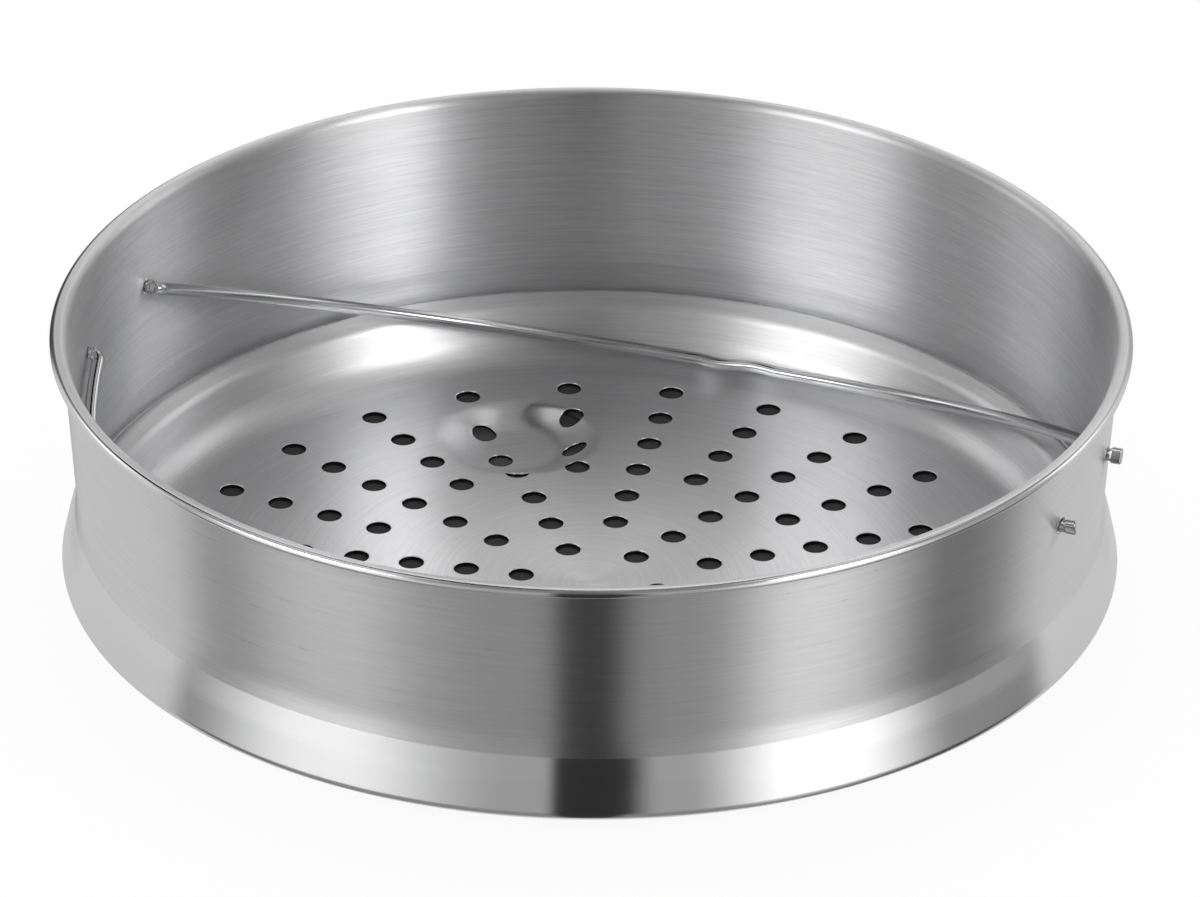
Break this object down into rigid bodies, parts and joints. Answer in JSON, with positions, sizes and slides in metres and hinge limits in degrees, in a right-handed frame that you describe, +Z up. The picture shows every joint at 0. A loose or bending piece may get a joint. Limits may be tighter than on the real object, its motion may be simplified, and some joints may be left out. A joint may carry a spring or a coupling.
{
  "type": "stacking steamer pot",
  "caption": "Round stacking steamer tier: a steel ring with an out-turned lip and a flared skirt, a perforated pan on pressed feet, and folding wire bails that swing up to lift it.",
  "frame": {"origin": "on the vessel's axis, at the level that the pan's pressed feet stand on", "axes": "+Z up the vessel's axis, +X along the bails' pivot lines, +Y towards the rear bail's crown"},
  "size_m": [0.212, 0.212, 0.0619],
  "materials": {
    "ring_steel": "satin wall brushed round the axis, polished lip and skirt",
    "pan_steel": "satin, brushed in circles",
    "bail_wire": "bright drawn wire"
  },
  "bodies": {
    "vessel": {"body_ring": "ring_steel", "perforated_pan": "pan_steel"},
    "rear_bail": {"rear_bail": "bail_wire"},
    "front_bail": {"front_bail": "bail_wire"}
  },
  "joints": [
    {"name": "rear_bail_swing", "type": "hinge", "parent": "vessel", "child": "rear_bail", "pos_m": [0, 0.0152, 0.0446], "axis": [1, 0, 0], "range_deg": [0, 124]},
    {"name": "front_bail_swing", "type": "hinge", "parent": "vessel", "child": "front_bail", "pos_m": [0, -0.0152, 0.0446], "axis": [-1, 0, 0], "range_deg": [0, 124]}
  ]
}
